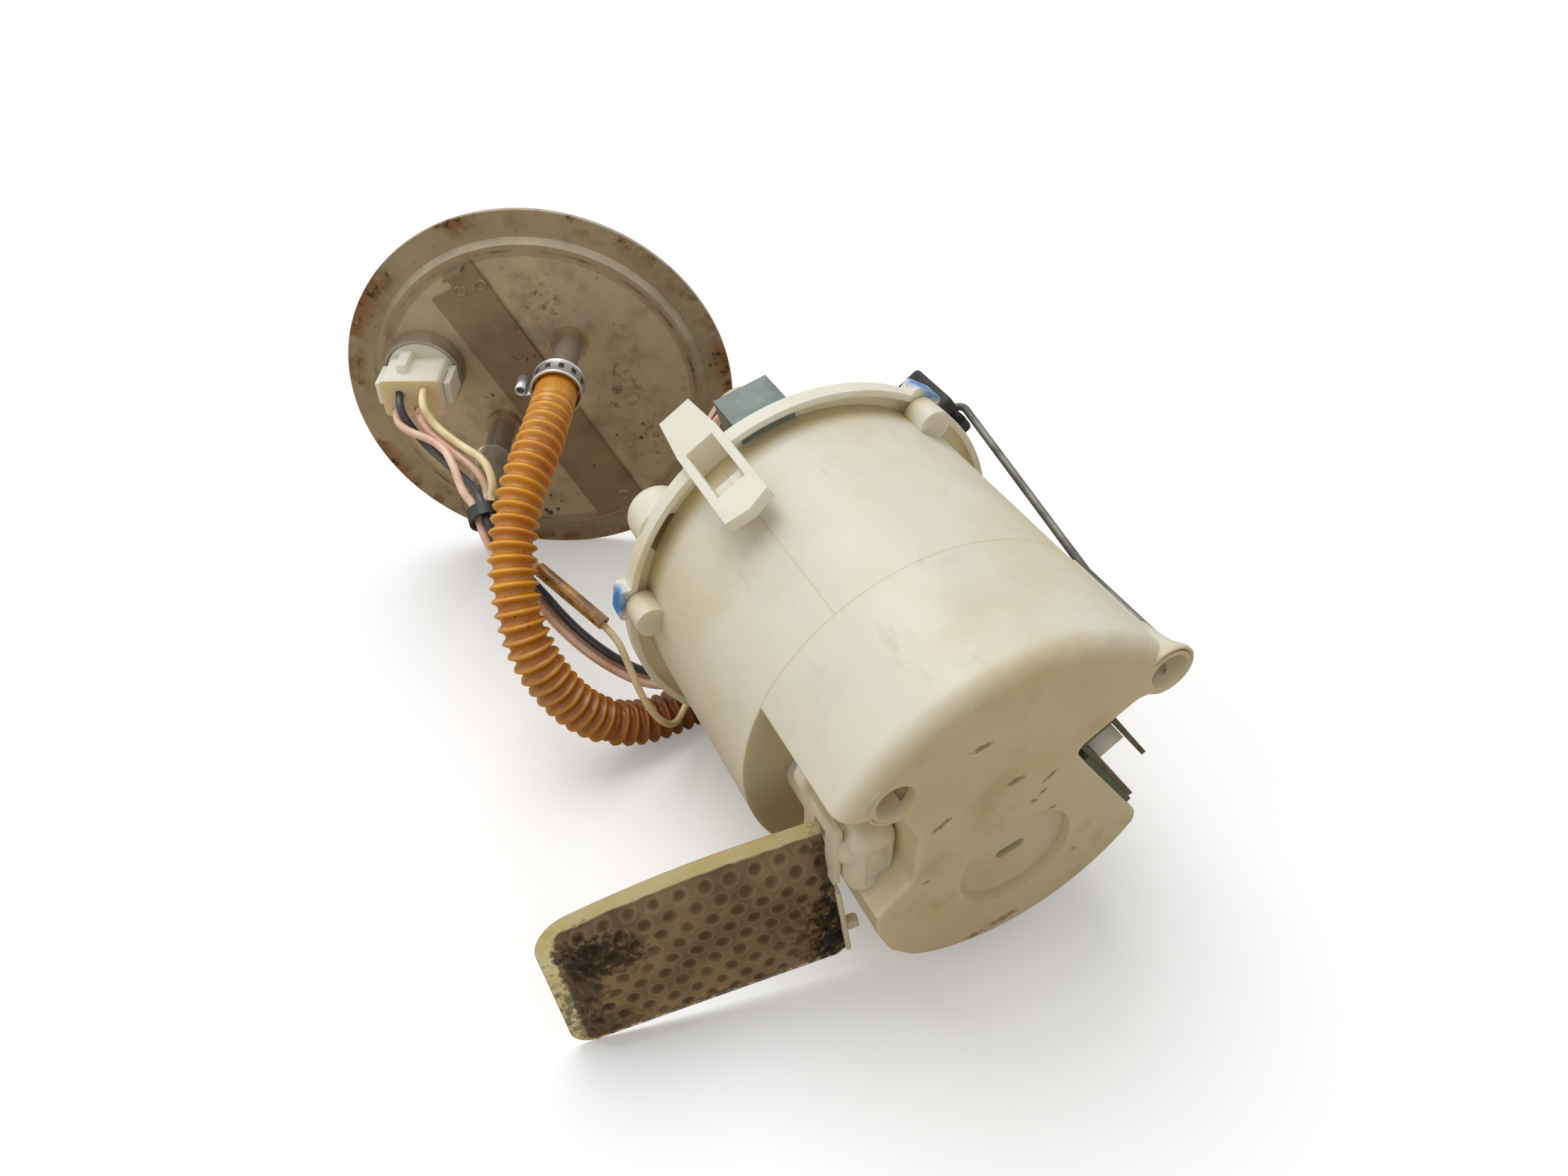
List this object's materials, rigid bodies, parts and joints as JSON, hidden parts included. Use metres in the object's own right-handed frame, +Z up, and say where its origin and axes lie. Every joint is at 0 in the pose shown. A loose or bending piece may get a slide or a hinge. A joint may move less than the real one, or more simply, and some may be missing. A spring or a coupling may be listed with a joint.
{
  "type": "in-tank fuel pump module",
  "caption": "Plastic reservoir pot with pump, strainer and level sender, hung by hose and wires from a round steel tank flange.",
  "frame": {"origin": "centre of the underside of the bounding box, measured without the hose and wires", "axes": "+Z up from the surface that the module lies on; +Y along the pot's axis, from its bottom face towards the lid and the flange; +X to the right, seen from the pot's bottom face"},
  "size_m": [0.1648, 0.2366, 0.122],
  "materials": {
    "ivory": "satin",
    "milky": "satin",
    "grey_green": "matt",
    "tin": "satin",
    "stained_steel": "worn satin",
    "bright_steel": "satin",
    "amber": "satin",
    "clear_sleeve": "gloss",
    "sock_brown": "matt",
    "float_black": "matt",
    "clip_black": "satin",
    "black_wire": "satin",
    "peach_wire": "satin",
    "cream_wire": "satin",
    "card": "satin",
    "black_rubber": "matt",
    "pump_plastic": "matt",
    "core_iron": "matt",
    "copper": "satin",
    "brush_carbon": "matt"
  },
  "bodies": {
    "module": {"reservoir_pot": "ivory", "fill_valve_cage": "ivory", "lid": "ivory", "lid_connector": "grey_green", "lid_contacts": "tin", "pump_can": "bright_steel", "pump_inlet_cover": "pump_plastic", "pump_port_plate": "pump_plastic", "magnets": "core_iron", "pump_outlet_cover": "pump_plastic", "brushes": "brush_carbon", "brush_springs": "bright_steel", "check_valve_spring": "bright_steel", "rubber_isolator": "black_rubber", "outlet_seal": "black_rubber", "outlet_pipe": "ivory", "resistor_card": "card", "sender_bracket": "tin", "sender_bolt": "tin", "strainer_neck": "ivory", "strainer_sock": "sock_brown", "flange_plate": "stained_steel", "reinforcement_strip": "tin", "supply_pipe": "stained_steel", "return_pipe": "stained_steel", "return_sleeve": "clear_sleeve", "hose_clamp": "bright_steel", "connector_ferrule": "stained_steel", "connector_socket": "milky", "connector_pins": "tin", "harness_plug": "milky", "fuel_hose": "amber", "wire_black": "black_wire", "wire_peach": "peach_wire", "wire_peach_back": "peach_wire", "wire_cream": "cream_wire", "wire_thin": "cream_wire", "splice_sleeve": "amber", "cable_clip": "clip_black"},
    "pump_rotor": {"rotor_shaft": "bright_steel", "armature_core": "core_iron", "armature_windings": "copper", "commutator": "copper", "impeller": "pump_plastic"},
    "fill_valve": {"fill_valve_disc": "black_rubber"},
    "check_valve": {"check_valve_poppet": "pump_plastic"},
    "sender_arm": {"arm_hub": "milky", "float_arm": "bright_steel"},
    "sender_float": {"float": "float_black"}
  },
  "joints": [
    {"name": "pump_rotor_spin", "type": "hinge", "parent": "module", "child": "pump_rotor", "pos_m": [0.00129, -0.05532, 0.053], "axis": [0, 1, 0], "continuous": true},
    {"name": "fill_valve_lift", "type": "slide", "parent": "module", "child": "fill_valve", "axis": [0, 1, 0], "range_m": [0, 0.0019]},
    {"name": "check_valve_lift", "type": "slide", "parent": "module", "child": "check_valve", "axis": [0, 1, 0], "range_m": [0, 0.0012], "stiffness_N_per_m": 60, "springref_m": -0.001, "deforming": ["check_valve_spring"]},
    {"name": "sender_arm_swing", "type": "hinge", "parent": "module", "child": "sender_arm", "pos_m": [0.05123, -0.10632, 0.05734], "axis": [0.809, 0, 0.5878], "range_deg": [0, 90]},
    {"name": "float_swivel", "type": "hinge", "parent": "sender_arm", "child": "sender_float", "pos_m": [0.07065, -0.00032, 0.07144], "axis": [0.809, 0, 0.5878], "range_deg": [-30, 30]}
  ]
}
